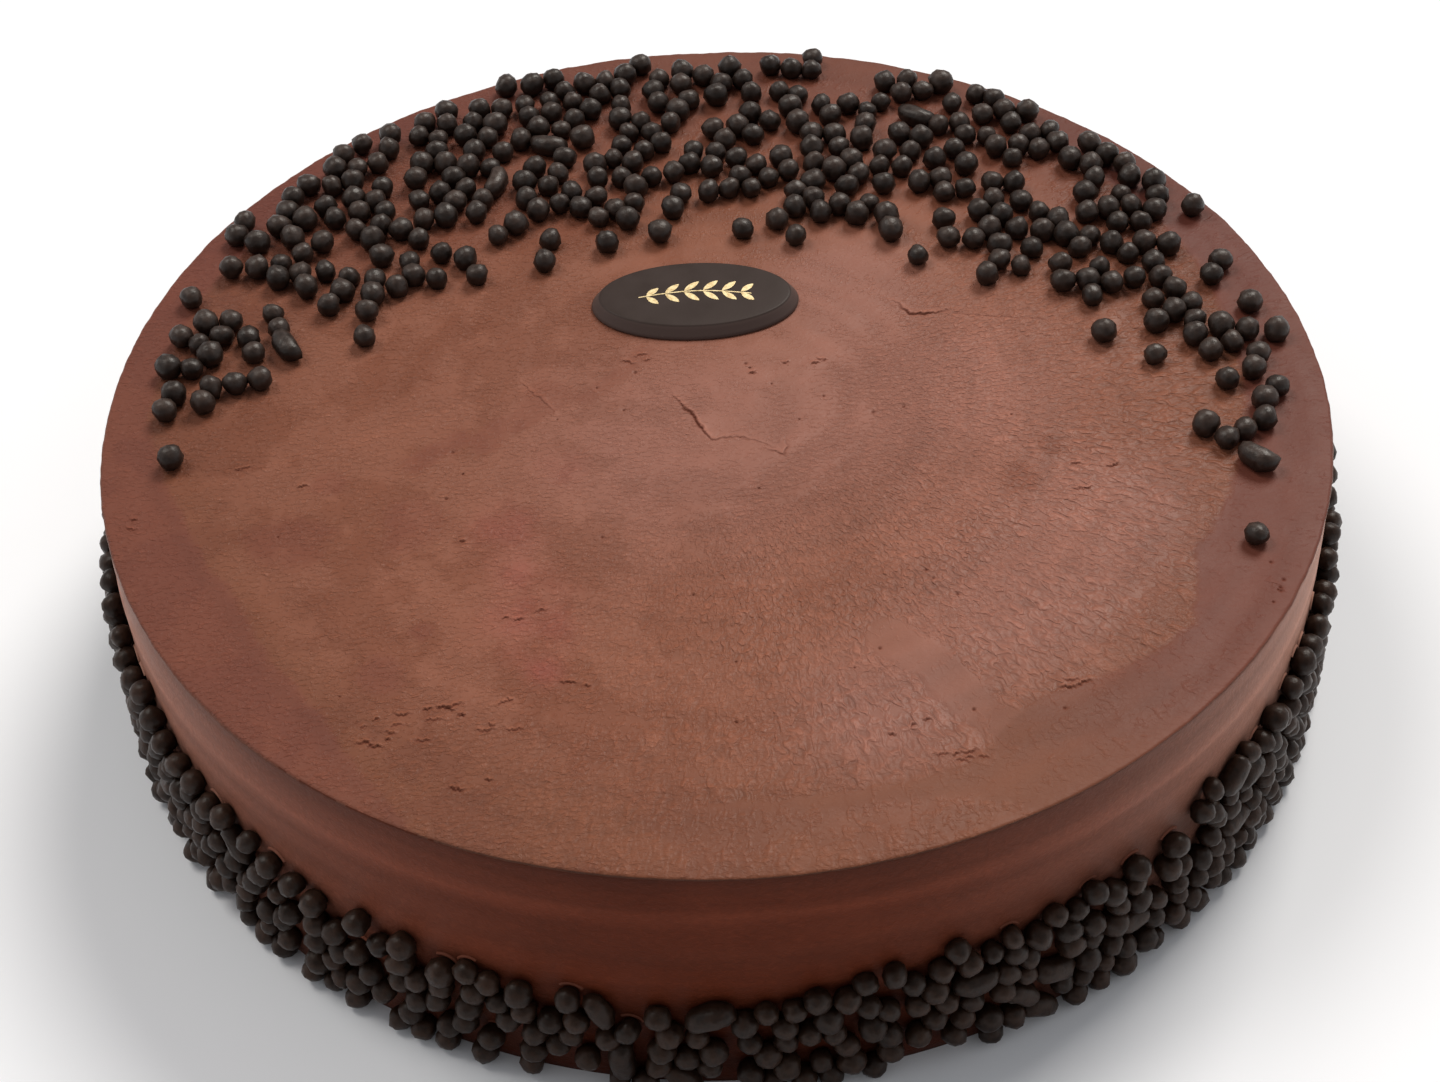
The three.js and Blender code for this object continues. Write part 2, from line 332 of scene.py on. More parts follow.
ring_turns, ring_starts, ring_ends = zip(*SMOOTH_RING)
past_start = away - np.interp(turned, ring_turns, ring_starts)
past_end = away - np.interp(turned, ring_turns, ring_ends)
in_ring = fade(past_start + uneven_edge, -RING_SOFTNESS, RING_SOFTNESS)
in_ring *= 1 - fade(past_end + uneven_edge, -RING_SOFTNESS, RING_SOFTNESS)
ring_shade = leftness * fade(-spot_y, 0, 30) * hump(past_start + uneven_edge, 2.2, 1.9)
in_trail = within(*LIFT_TRAIL)
smeared = np.max([within(*smear) for smear in SMEARS], axis=0)
smoothed = np.max([in_ring * (1 - 0.8 * leftness), in_trail, 0.8 * smeared, 0.7 * ring_shade], axis=0)

# The knife's wrinkles run out from the middle, boldest at the front right. The material draws the finest
# of them from how raked, how coarse and how levelled the cream is
BOLDEST_AZIMUTH = math.radians(-38)
bold = fade(np.cos(azimuth - BOLDEST_AZIMUTH), -0.1, 0.9) * fade(away, 8, 55)
bold *= np.clip(0.9 + 0.5 * waver(level, 15, 10), 0.5, 1) * (1 - 0.7 * fade(past_start, 0, 2))
raked = np.maximum(bold, 0.7 - 0.65 * leftness) * fade(away, 22, 50) * on_top
blended = np.hypot(raked, 1 - raked)
coarse = on_top * (0.6 + 0.3 * leftness + 0.6 * bold) * (1 - 0.5 * smoothed) / blended + 0.8 * (1 - on_top)
levelled = 0.06 - 0.08 * leftness - 0.3 * bold * (1 - smoothed) + 0.05 * smoothed - (1 - on_top)
levelled += 0.08 * waver(level, 6, 29) + 0.2 * waver(turning, 0.6, 30) * (1 - 0.85 * leftness)

# The relief of the top, in millimetres: swells, the knife's rings, wrinkles, grain, tears, pits and laps
SWELL = [(0.28, 45, 1), (0.1, 15, 2)]
KNIFE_LINES = [(0.16, 1, 17), (0.06, 0.4, 18)]
KNIFE_RING_HEIGHT = 0.05
KNIFE_RING_STEP = 1.4
WRINKLE_HEIGHT = 0.12
GRAIN_HEIGHT = 0.05
JAGS_ALONG_X = [(0.5, 1.6, 31), (0.25, 0.6, 33)]
JAGS_ALONG_Y = [(0.5, 1.6, 32), (0.25, 0.6, 34)]
knife_rings = np.sin(away / KNIFE_RING_STEP + 2.5 * waver(level, 40, 3)) * fade(away, 15, 60)
ragged = waves(corners, [(0.1, 6, 5), (0.1, 2.2, 6)])
relief, cuts, lips = torn(spot, tears, 13)
pit_cuts = pitted(spot, pits, 14)
cuts = np.maximum(cuts, 0.8 * pit_cuts)
relief += waves(level, SWELL) + KNIFE_RING_HEIGHT * knife_rings
relief += waves(turning, KNIFE_LINES) * fade(away, 15, 50)
relief += WRINKLE_HEIGHT * bold * raked * (1 - smoothed) * waver(spokes, 2.6, 11)
relief += GRAIN_HEIGHT * waver(level, 2.4, 4) + near_rim * ragged - PIT_DEPTH * pit_cuts
jagged = spot + np.column_stack([waves(level, JAGS_ALONG_X), waves(level, JAGS_ALONG_Y)])
for lap_height, lap_groove, cut_dark, lip_pale, _, path, strengths in LAPS:
    lap_relief, lap_cut, lap_lip = lapped(*beside_path(jagged, path), lap_height, lap_groove, strengths)
    relief += lap_relief
    cuts = np.maximum(cuts, cut_dark * lap_cut)
    lips = np.maximum(lips, lip_pale * lap_lip)
corners[:, 2] += on_top * relief

# The scraper's bands run round the wall, which draws in a little under the rim and has a ridge lower down
SCRAPER_BANDS = [(0.2, 5, 7), (0.06, 1.7, 8)]
DRAWN_IN = 0.3
RIDGE_HEIGHT = 0.3
RIDGE_DEPTH = 14
ridge_place = RIDGE_DEPTH + 2.5 * np.sin(1.3 * azimuth + 0.4) + 0.6 * waver(rings, 3, 25)
ridge = hump(below_rim, ridge_place, 1.2) * np.clip(0.5 + 1.2 * waver(rings, 6, 26), 0, 1)
bands = waves(rings, SCRAPER_BANDS) + 0.3 * waver(corners, 40, 9)
bands += RIDGE_HEIGHT * ridge - DRAWN_IN * hump(below_rim, 3.2, 1.8)
sideways = (1 - on_top) * fade(up, 0, 3) * bands + 1.3 * hump(below_rim, 0, 2.5) * near_rim * ragged
corners[:, :2] += outward * sideways[:, None]
coat_mesh.vertices.foreach_set("co", (corners * MM).astype(np.float32).ravel())
coat_mesh.update()
coat_mesh.shade_smooth()

# Patches on the top: middle x and y, and size
REDDER_PATCHES = [(-32, -21, 5), (-43, -38, 7), (-40, -50, 5), (-38, -64, 9), (-35, -78, 4)]
# The paler patches are partly paler cream and partly a painted sheen
PALER_PATCHES = [(50, 0, 36), (30, 38, 16), (82, -42, 18), (58, -66, 23), (30, -92, 18), (-5, -15, 34)]
DARKER_PATCHES = [
    (70, -19.5, 3.5), (62, -29, 5), (-88, -40, 9), (-62, -36, 8), (-66, -77, 5), (-59, -66, 3), (-80, -22, 4),
    (-35, 2, 6),
]
PALER_STREAK = [(-108, -22), (-75, -9), (-37, 6)]
# Arcs left by the edge of the knife: radius, width, first and last azimuth in degrees, paler or darker
KNIFE_ARCS = [
    (61, 3.5, -55, 25, 0.06), (46, 2.5, -85, 20, -0.05), (53, 1.8, -75, 10, 0.04), (74, 2.5, -80, -5, -0.05),
    (84, 2, -75, -15, 0.05), (112.5, 1, -150, -100, -0.06), (116.6, 0.8, -92, -80, 0.06),
]
ARC_ENDS = 12
CLOUD_LAYERS = [(1, 16, 19), (0.5, 6, 20), (0.25, 2.5, 23)]
LIP_PALER = 0.28
STREAK_PALER = 0.06
islands = patches(spot, DARKER_PATCHES) + waves(level, [(0.25, 6, 36), (0.12, 2, 37)])
dark_marks = smeared + fade(islands, 0.25, 0.7)
streak = hump(beside_path(spot, PALER_STREAK)[0], 0, 1.6)
wavered = away + 1.2 * waver(level, 30, 28)
arc_marks = np.zeros(len(spot))
for arc_radius, arc_width, arc_start, arc_end, strength in KNIFE_ARCS:
    window = fade(turned, arc_start - ARC_ENDS, arc_start + ARC_ENDS)
    window *= 1 - fade(turned, arc_end - ARC_ENDS, arc_end + ARC_ENDS)
    arc_marks += strength * window * hump(wavered, arc_radius, arc_width)
clouds = fade(waves(level, CLOUD_LAYERS), -0.02, 0.16)
leftward = 0.4 + 0.6 * fade(-spot_x, -30, 40)
short_of_rim = 1 - fade(away, 95, 120)
knife_tones = waves(turning, [(0.05, 1, 21), (0.08, 0.35, 22)]) * fade(away, 12, 40) * (1 - 0.85 * leftness)
front = fade(-spot_y, 20, 80) * (1 - fade(spot_x, 10, 50)) * short_of_rim
# Painted light: the lips of tears and laps are made paler
tone = 1 + LIP_PALER * lips + STREAK_PALER * streak + arc_marks
# Painted light: the middle and the right of the top are made paler
tone *= 1 + 0.02 * hump(away, 0, 35) + 0.05 * fade(spot_x, 15, 60) * (1 - in_ring)
# How much paler or darker each of these makes the cream of the top, and where
top_tones = [
    (-0.1, np.clip(dark_marks, 0, 1.2)),
    (-0.12, ring_shade),
    (-0.11, leftward * (clouds - 0.4)),
    (-0.08, in_trail),
    (-0.06 - 0.09 * leftness - 0.29 * rightness, in_ring),
    # Painted shade: darker towards the back, among the pearls
    (-0.22, behind),
    # Painted light: paler towards the front
    (0.06, front),
    # Painted shade: darker towards the rim
    (-0.14 - 0.05 * np.abs(np.cos(azimuth)), fade(away, 70, radius_mm)),
    (1, knife_tones),
]
for share, where in top_tones:
    tone *= 1 + share * where
redder = patches(spot, REDDER_PATCHES) * np.clip(0.7 + 0.6 * waver(level, 5, 16), 0, 1)
# The painted shade at the back is made redder as well
redder += 0.5 * in_ring * (leftness + 1.6 * rightness) + 0.45 * behind
redder += 0.25 * np.clip(dark_marks, 0, 1) + 0.1 * leftward * clouds
paler = 0.22 * leftward * (1 - clouds) * (1 - behind) * short_of_rim + patches(spot, PALER_PATCHES)
paler *= (1 - 0.5 * np.clip(dark_marks, 0, 1)) * (1 - 0.7 * in_ring)

# The wall has painted shade under the rim and behind the pearls, whose band dips at the front, is darker
# lower down, and has painted light at the sides and back
UNDER_RIM_SHADE = 0.46
LOW_DARKER = 0.12
PEARL_SHADE = 0.45
SHADE_HEIGHT = 36
SHADE_DIP = 9.5
SHADE_DIP_WIDTH = 0.58
SHADE_RISE = 6
RIGHT_SIDE_LIGHT = 1.05
LEFT_SIDE_LIGHT = 0.54
BACK_LIGHT = 0.35
dip_turn = np.mod(azimuth + math.radians(280), math.tau) - math.pi
pearl_top = SHADE_HEIGHT - SHADE_DIP * hump(dip_turn, 0, SHADE_DIP_WIDTH) + SHADE_RISE * np.cos(azimuth) ** 8
shaded = UNDER_RIM_SHADE * (1 - 0.75 * rightness) * hump(below_rim, 0, 5)
shaded += LOW_DARKER * fade(below_rim, 15, 30) + PEARL_SHADE * fade(pearl_top - up, -2, 7)
wall_tone = (1.05 - shaded) * (1 + waves(rings, [(0.22, 5, 15), (0.12, 1.6, 24)]))
# Painted light: the left wall is made paler
wall_tone *= (1 + 0.25 * ridge) * (1 + 0.25 * leftness)
sidelit = np.abs(np.cos(azimuth)) ** 3 * np.where(spot_x > 0, RIGHT_SIDE_LIGHT, LEFT_SIDE_LIGHT)
sidelit = np.maximum(sidelit, BACK_LIGHT * fade(np.sin(azimuth), 0, 0.6))
sidelit += 0.012 * np.clip(0.2 + 1.5 * waver(rings, 4, 38), 0, 1)


def store(mesh, values):
    """Stores numbers or vectors on the corners of a mesh, under the names that its material or nodes read."""
    for name, each in values.items():
        each = np.asarray(each)
        kind, field, number = "FLOAT", "value", np.float32
        if each.ndim == 2:
            kind, field = "FLOAT_VECTOR", "vector"
        elif each.dtype.kind == "i":
            kind, number = "INT", np.int32
        mesh.attributes.new(name, kind, "POINT").data.foreach_set(field, each.astype(number).ravel())


top_share = fade(up, height_mm - 0.6 * RIM_ROUNDING, height_mm - 0.2 * RIM_ROUNDING)
store(
    coat_mesh,
    {
        "tone": top_share * tone + (1 - top_share) * wall_tone,
        "redder": np.clip(top_share * redder, 0, 1),
        "paler": np.clip(top_share * paler + (1 - top_share) * sidelit, 0, 1),
        "matt": top_share * 0.07 * np.maximum(in_ring, in_trail),
        "raked": raked,
        "coarse": coarse,
        "levelled": levelled,
        "cut": on_top * cuts,
        "stroke": np.where(on_top[:, None] > 0.5, spokes, rings),
    },
)


class Nodes:
    """A tree whose nodes are added and linked in one line each."""

    def __init__(self, tree):
        self.tree = tree

    def feed(self, socket, value):
        """Links a socket to another node's output, or sets it to a plain value."""
        if isinstance(value, bpy.types.NodeSocket):
            self.tree.links.new(value, socket)
        else:
            socket.default_value = value

    def add(self, kind, inputs=None, output=0, **settings):
        """Adds a node with its settings, feeds its inputs, and gives one of its outputs."""
        node = self.tree.nodes.new(kind)
        for setting, value in settings.items():
            setattr(node, setting, value)
        for socket, value in (inputs or {}).items():
            self.feed(node.inputs[socket], value)
        return node.outputs[output]

    def maths(self, operation, *values):
        return self.add("ShaderNodeMath", dict(enumerate(values)), operation=operation)

    def vector(self, operation, inputs, output="Vector"):
        return self.add("ShaderNodeVectorMath", inputs, output, operation=operation)


class Finish(Nodes):
    """A finish in the making: a material, and short ways to the nodes that the pieces need."""

    def __init__(self, name):
        self.material = bpy.data.materials.new(name)
        self.material.use_nodes = True
        super().__init__(self.material.node_tree)

    def place(self):
        return self.add("ShaderNodeTexCoord", output="Object")

    def value(self, name, output="Fac"):
        return self.add("ShaderNodeAttribute", output=output, attribute_name=name)

    def mottle(self, place, **inputs):
        return self.add("ShaderNodeTexNoise", {"Vector": place, **inputs}, "Fac")

    def ramp(self, share, *stops):
        """Runs from one colour to the next, each given with its share."""
        ramp = self.add("ShaderNodeValToRGB", {"Fac": share}, "Color")
        for element, (position, colour) in zip(ramp.node.color_ramp.elements, stops):
            element.position = position
            element.color = colour
        return ramp

    def mix(self, share, colour, over):
        return self.add("ShaderNodeMix", {0: share, 6: colour, 7: over}, 2, data_type="RGBA")

    def roughness(self, share, low, high):
        """Turns the middle of a mottle into a roughness."""
        inputs = {"Value": share, "From Min": 0.3, "From Max": 0.7, "To Min": low, "To Max": high}
        return self.add("ShaderNodeMapRange", inputs, "Result")

    def bump(self, height, strength, depth):
        inputs = {"Height": height, "Strength": strength, "Distance": depth}
        return self.add("ShaderNodeBump", inputs, "Normal")

    def shade(self, **inputs):
        """Feeds the shader's own sockets, and gives the finished material."""
        shader = self.tree.nodes["Principled BSDF"]
        for name, value in inputs.items():
            self.feed(shader.inputs[name.replace("_", " ")], value)
        return self.material


# Fine grain is drawn out along x, and its crests are worn. The finest specks show even where it is levelled
GRAIN_STRETCH = (0.65, 1.1, 1)
CREST = 0.2
FINEST = 0.15
# The colour follows the grain's height, paler on crests and darker in hollows: partly specks in the cream,
# partly painted light and shade on the grain
SPECK_AND_GRAIN_SHADE = (0.68, 0.905)
CUT_DULLNESS = 0.45


def cream_finish(name, deep, mid, red, pale, sheen, relief_depth):
    """Whipped cream: mottled browns with redder and paler patches, and a fine grain drawn by the knife."""
    finish = Finish(name)
    maths = finish.maths
    place = finish.place()
    cloud = finish.mottle(place, Scale=60, Detail=5, Roughness=0.6)
    browns = finish.ramp(cloud, (0.3, deep), (0.7, mid))
    reddened = finish.mix(finish.value("redder"), browns, red)
    # Mixes in the paler colour: on the top paler cream and painted sheen, on the wall and the lips painted
    # side light
    paled_and_lit = finish.mix(finish.value("paler"), reddened, pale)
    stretched = finish.vector("MULTIPLY", {0: place, 1: GRAIN_STRETCH})
    grain = finish.mottle(stretched, Scale=1000, Detail=3, Roughness=0.65, Distortion=0.6)
    drawn = finish.value("stroke", "Vector")
    strokes = finish.mottle(drawn, Scale=1.2, Detail=1, Roughness=0.6, Distortion=0.8)
    drag = finish.add("ShaderNodeMix", {0: finish.value("raked"), 2: grain, 3: strokes})
    level = maths("SUBTRACT", drag, 0.5)
    worn = maths("MULTIPLY_ADD", maths("ABSOLUTE", level), CREST, level)
    filled = maths("MAXIMUM", worn, finish.value("levelled"))
    height = maths("MULTIPLY_ADD", grain, FINEST, maths("MULTIPLY", filled, finish.value("coarse")))
    depth = maths("MULTIPLY", finish.value("tone"), maths("MULTIPLY_ADD", height, *SPECK_AND_GRAIN_SHADE))
    colour = finish.vector("SCALE", {0: paled_and_lit, "Scale": depth})
    cut = finish.value("cut")
    gloss = maths("ADD", finish.roughness(cloud, 0.4, 0.5), finish.value("matt"))
    return finish.shade(
        Base_Color=finish.mix(cut, colour, CUT_SHADE_BROWN),
        Roughness=maths("MULTIPLY_ADD", cut, CUT_DULLNESS, gloss),
        Normal=finish.bump(height, 1.0, relief_depth),
        Specular_IOR_Level=sheen,
    )


def put(name, mesh):
    """Puts a finished mesh in the scene, at the origin."""
    piece = bpy.data.objects.new(name, mesh)
    bpy.context.scene.collection.objects.link(piece)
    return piece


# Browns are deep, middling, redder and paler. The top, smoothed by the knife, has more sheen than the wall
# The cuts, pits and crack are coloured a deep brown: painted shade in these hollows
CUT_SHADE_BROWN = (0.115, 0.030, 0.017, 1)
TOP_BROWNS = [(0.185, 0.061, 0.031, 1), (0.210, 0.073, 0.039, 1)]
TOP_BROWNS += [(0.250, 0.069, 0.047, 1), (0.248, 0.100, 0.071, 1)]
# The wall's browns are darker and redder than the top's: painted shade, the wall being a shaded copy of the
# same cream. Its palest brown is painted light on the sides
SHADED_WALL_BROWN = (0.120, 0.026, 0.0115, 1)
LIT_AND_SHADED_WALL_BROWNS = [(0.098, 0.0195, 0.0075, 1), SHADED_WALL_BROWN, SHADED_WALL_BROWN, (0.450, 0.240, 0.180, 1)]
TOP_SHEEN = 0.18
WALL_SHEEN = 0.055
coat_mesh.materials.append(cream_finish("chocolate_cream", *TOP_BROWNS, TOP_SHEEN, 0.7 * MM))
coat_mesh.materials.append(cream_finish("chocolate_cream_wall", *LIT_AND_SHADED_WALL_BROWNS, WALL_SHEEN, 0.25 * MM))
face_heights = np.array([face.center.z for face in coat_mesh.polygons])
wall_faces = (face_heights < cake_height - 0.6 * RIM_ROUNDING * MM).astype(np.int32)
coat_mesh.polygons.foreach_set("material_index", wall_faces)
coat = put("cream_coat", coat_mesh)
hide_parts("cake")
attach(coat, "root")

# The pearls on the top: crunchy cereal cores rolled in dark chocolate, about five millimetres across.
# They were let fall in pinches over the back of the top, so they lie in clumps that grew pearl by pearl.
PEARL_RADIUS = 2.55
PEARL_SPREAD = 0.13
PEARL_SINK = 0.5
PEARL_COAT = 1.07
PEARL_UNEVENNESS = 0.06
PEARL_TONES = (0.7, 1.3)
TOUCHING = 1.01
TWIN_STRETCH = 1.5
TWIN_LENGTHENING = 1.7
PINCH_TRIES = 90
PINCH_SPREAD = 1.25
PINCH_LOOSENESS = 0.45
FIRST_STEP = 0.35
RIM_MARGIN = 4.5
PLAQUE_MARGIN = 4
# Twin pearls: x and y in millimetres, and turn in degrees
TWINS = [(111, -28, -40), (51, 96, -35), (-37, 90, -20), (-49, 76, 75), (-93, 20, -60)]
# Each pinch: x and y in millimetres, and how many pearls
PINCHES = [
    # right-hand end, loosely strewn
    (107, -50, 1), (110, -19, 3), (102, -19, 1), (119, -6, 2), (109, -3, 1), (112, 9, 4), (101, 20, 6),
    (118, 22, 1), (122, 12, 1), (85, 14, 1), (95, 6, 1), (114, 37, 2),
    # right-hand clump
    (111, 57, 1), (90, 74, 7), (97, 58, 10), (81, 48, 8), (98, 44, 4), (87, 36, 7), (65, 40, 4), (47, 43, 1),
    (55, 66, 4), (66, 62, 6), (61, 76, 1), (54, 56, 1),
    # back right
    (72, 97, 6), (74, 83, 8), (60, 101, 1), (50, 111, 5), (52, 95, 4), (49, 83, 7), (35, 102, 5), (31, 90, 8),
    (30, 76, 5), (41, 58, 4), (35, 66, 1), (26, 60, 1),
    # back
    (22, 118, 4), (10, 114, 6), (21, 102, 3), (8, 95, 6), (18, 82, 2), (8, 75, 8), (-5, 113, 6),
    (-15, 122, 1), (-6, 102, 2), (-20, 112, 6), (-15, 98, 4), (-17, 82, 8), (-3, 80, 3), (-6, 69, 2),
    (16, 58, 1), (8, 55, 1),
    # back left
    (-33, 112, 6), (-41, 120, 2), (-43, 107, 3), (-36, 95, 5), (-40, 81, 5), (-50, 99, 5), (-67, 101, 6),
    (-58, 107, 4), (-56, 86, 6), (-62, 73, 4), (-60, 64, 2), (-34, 67, 6), (-23, 66, 4), (-44, 60, 2),
    (-36, 54, 1), (-23, 52, 1), (-11, 55, 1), (-37, 46, 1),
    # left-hand clump
    (-82, 84, 7), (-82, 72, 6), (-93, 78, 2), (-97, 68, 2), (-88, 56, 1), (-103, 57, 1), (-108, 48, 1),
    (-92, 45, 4), (-66, 56, 1), (-74, 50, 1), (-55, 48, 3), (-70, 39, 7), (-76, 22, 1),
    # left-hand end, loosely strewn
    (-116, 38, 1), (-106, 29, 3), (-95, 26, 2), (-115, 26, 1), (-118, 14, 2), (-108, 7, 3), (-100, 7, 1),
    (-117, 0, 2), (-114, -15, 1),
]
# Pearls let fall last, between the others
LATE_PINCHES = [
    (-75, 62, 4), (-88, 66, 3), (-64, 84, 3), (-74, 93, 3), (-99, 44, 2), (-82, 38, 3), (-100, 18, 2),
    (-112, 22, 2), (-95, 58, 3), (-108, 60, 2), (-52, 70, 2), (-48, 92, 3), (-27, 104, 3), (-10, 90, 2),
    (2, 86, 3), (24, 68, 3), (20, 52, 1), (60, 48, 3), (72, 52, 3), (40, 76, 2), (62, 88, 2), (115, 0, 2),
    (108, 14, 2), (100, 32, 2),
]
plaque_low, plaque_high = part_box("plaque")
plaque_middle = (plaque_low + plaque_high) / 2
plaque_half = (plaque_high - plaque_low) / 2
clear_middle = (round(plaque_middle.x / MM, 3), round(plaque_middle.y / MM, 3))
clear_half = (round(plaque_half.x / MM, 3) + PLAQUE_MARGIN, round(plaque_half.y / MM, 3) + PLAQUE_MARGIN)


def random_from(seed):
    """Repeatable random numbers between 0 and 1."""
    state = seed

    def draw():
        nonlocal state
        state = state * 16807 % 2147483647
        return state / 2147483647

    return draw


def pearl_radius(draw):
    return PEARL_RADIUS * (1 + PEARL_SPREAD * (draw() + draw() - 1))


def free_on_top(x, y, radius, pearls):
    """A place is free if it is inside the rim, off the plaque and clear of the other pearls."""
    if math.hypot(x, y) > radius_mm - RIM_MARGIN:
        return False
    if math.hypot((x - clear_middle[0]) / clear_half[0], (y - clear_middle[1]) / clear_half[1]) < 1:
        return False
    return all(math.hypot(x - p["x"], y - p["y"]) >= p["radius"] * p["stretch"] + radius for p in pearls)


def strew_top(pearls, pinches, seed):
    """Each pinch starts at its middle and grows by pearls that come to rest against it."""
    draw = random_from(seed)
    for x, y, count in pinches:
        pinch = []
        spread = PEARL_RADIUS * (1 + PINCH_SPREAD * math.sqrt(count - 1))
        for attempt in range(PINCH_TRIES):
            if len(pinch) == count:
                break
            radius = pearl_radius(draw)
            turn = math.tau * draw()
            pick = draw()
            looseness = PINCH_LOOSENESS * draw() ** 3
            if pinch:
                beside = pinch[int(pick * len(pinch))]
                step = (beside["radius"] + radius) * (TOUCHING + looseness)
                at_x = beside["x"] + step * math.cos(turn)
                at_y = beside["y"] + step * math.sin(turn)
                if math.hypot(at_x - x, at_y - y) > spread:
                    continue
            else:
                at_x = x + FIRST_STEP * attempt * math.cos(turn)
                at_y = y + FIRST_STEP * attempt * math.sin(turn)
            if not free_on_top(at_x, at_y, radius, pearls):
                continue
            pearl = {"x": at_x, "y": at_y, "radius": radius, "stretch": 1.0, "turn": turn}
            pinch.append(pearl)
            pearls.append(pearl)


class Growth(Nodes):
    """Geometry nodes that grow a mesh on points, from named inputs and the points' own values."""

    def __init__(self, name, inputs):
        tree = bpy.data.node_groups.new(name, "GeometryNodeTree")
        for socket, kind in {"Geometry": "Geometry", **inputs, "Finish": "Material"}.items():
            tree.interface.new_socket(socket, in_out="INPUT", socket_type="NodeSocket" + kind)
        tree.interface.new_socket("Geometry", in_out="OUTPUT", socket_type="NodeSocketGeometry")
        super().__init__(tree)

    def given(self, name):
        return self.add("NodeGroupInput", output=name)

    def own(self, name, kind="FLOAT_VECTOR"):
        return self.add("GeometryNodeInputNamedAttribute", {"Name": name}, data_type=kind)

    def lay(self, shape, picking):
        """Real copies of a shape, one on each point, sized and turned by the point's own values."""
        turned = self.add("FunctionNodeEulerToRotation", {0: self.own("lie")})
        inputs = {"Points": self.given("Geometry"), "Instance": shape, "Rotation": turned}
        inputs |= {"Scale": self.own("size"), **picking}
        return self.add("GeometryNodeRealizeInstances", {0: self.add("GeometryNodeInstanceOnPoints", inputs)})

    def end(self, shape):
        smooth = self.add("GeometryNodeSetShadeSmooth", {"Geometry": shape})
        finished = self.add("GeometryNodeSetMaterial", {"Geometry": smooth, "Material": self.given("Finish")})
        self.feed(self.tree.nodes.new("NodeGroupOutput").inputs[0], finished)
        return self.tree


def grown(name, places, values, tree, settings):
    """The plain mesh that a tree grows on points, from the points' own values and the tree's inputs."""
    points = mesh_of(name + "_points", places, [])
    store(points, values)
    holder = put(points.name, points)
    modifier = holder.modifiers.new(name, "NODES")
    modifier.node_group = tree
    for item in tree.interface.items_tree:
        if item.in_out == "INPUT" and item.name in settings:
            modifier[item.identifier] = settings[item.name]
    evaluated = holder.evaluated_get(bpy.context.evaluated_depsgraph_get())
    mesh = bpy.data.meshes.new_from_object(evaluated)
    mesh.name = name
    bpy.data.objects.remove(holder)
    return mesh


# A twin flares from its waist to both ends and is bent like a bean. The open side of a pearl is painted paler
# and the side against the cream darker, as painted light and shade
TWIN_FLARE = 0.3
TWIN_BEND = 0.35
TWIN_SHIFT = 0.12
OPEN_SIDE_LIGHT = (0.45, 0.75)
SEAM_WELD = 0.01 * MM


def pearl_nodes():
    """Puts a dented pearl, or a waisted twin pearl, on each point."""
    inputs = {"Steps": "Int", "Waist": "Float", "Dent depth": "Float", "Dents per metre": "Float"}
    growth = Growth("pearls_on_points", inputs)
    maths = growth.maths

    def moved(shape, how, where):
        return growth.add("GeometryNodeSetPosition", {"Geometry": shape, how: where})

    box = growth.add("GeometryNodeMeshCube", {"Vertices " + axis: growth.given("Steps") for axis in "XYZ"})
    ball = growth.vector("NORMALIZE", {0: growth.add("GeometryNodeInputPosition")})
    parts = growth.add("ShaderNodeSeparateXYZ", {0: ball}).node.outputs
    squared = maths("MULTIPLY", parts["X"], parts["X"])
    girth = maths("MULTIPLY_ADD", squared, TWIN_FLARE, growth.given("Waist"))
    bent_y = maths("MULTIPLY_ADD", squared, TWIN_BEND, maths("MULTIPLY", parts["Y"], girth))
    bean = {"X": parts["X"], "Y": maths("SUBTRACT", bent_y, TWIN_SHIFT)}
    bean["Z"] = maths("MULTIPLY", parts["Z"], girth)
    twin = moved(box, "Position", growth.add("ShaderNodeCombineXYZ", bean))
    kinds = growth.add("GeometryNodeGeometryToInstance", {0: twin})
    growth.feed(kinds.node.inputs[0], moved(box, "Position", ball))
    picking = {"Pick Instance": True, "Instance Index": growth.own("is_twin", "INT")}
    real = growth.lay(kinds, picking)
    dents = growth.add("ShaderNodeTexNoise", {"Scale": growth.given("Dents per metre"), "Detail": 1.0}, "Fac")
    depth = maths("MULTIPLY", maths("SUBTRACT", dents, 0.5), growth.given("Dent depth"))
    normal = growth.add("GeometryNodeInputNormal")
    dented = moved(real, "Offset", growth.vector("SCALE", {0: normal, "Scale": depth}))
    exposed = growth.vector("DOT_PRODUCT", {0: normal, 1: growth.own("open_side")}, "Value")
    # Painted light and shade: each pearl's tone is paler on its open side and darker where it meets the cream
    tone = maths("MULTIPLY", growth.own("tone", "FLOAT"), maths("MULTIPLY_ADD", exposed, *OPEN_SIDE_LIGHT))
    welded = growth.add("GeometryNodeMergeByDistance", {"Geometry": dented, "Distance": SEAM_WELD})
    toning = {"Geometry": welded, "Name": "tone", "Value": tone}
    return growth.end(growth.add("GeometryNodeStoreNamedAttribute", toning))


def pearl_finish(name, deep, light, sheen):
    """Dark chocolate coating of the pearls: satin, faintly mottled, each pearl with its own tone."""
    finish = Finish(name)
    mottle = finish.mottle(finish.place(), Scale=700, Detail=3)
    level = finish.maths("MULTIPLY", finish.value("tone"), mottle)
    return finish.shade(
        Base_Color=finish.ramp(level, (0.1, deep), (0.8, light)),
        Roughness=finish.roughness(mottle, 0.34, 0.46),
        Normal=finish.bump(mottle, 0.5, 0.4 * MM),
        Specular_IOR_Level=sheen,
    )


pearl_tree = pearl_nodes()
PEARL_SETTINGS = {"Steps": 4, "Waist": 0.92, "Dent depth": 1.4 * MM, "Dents per metre": 330.0}


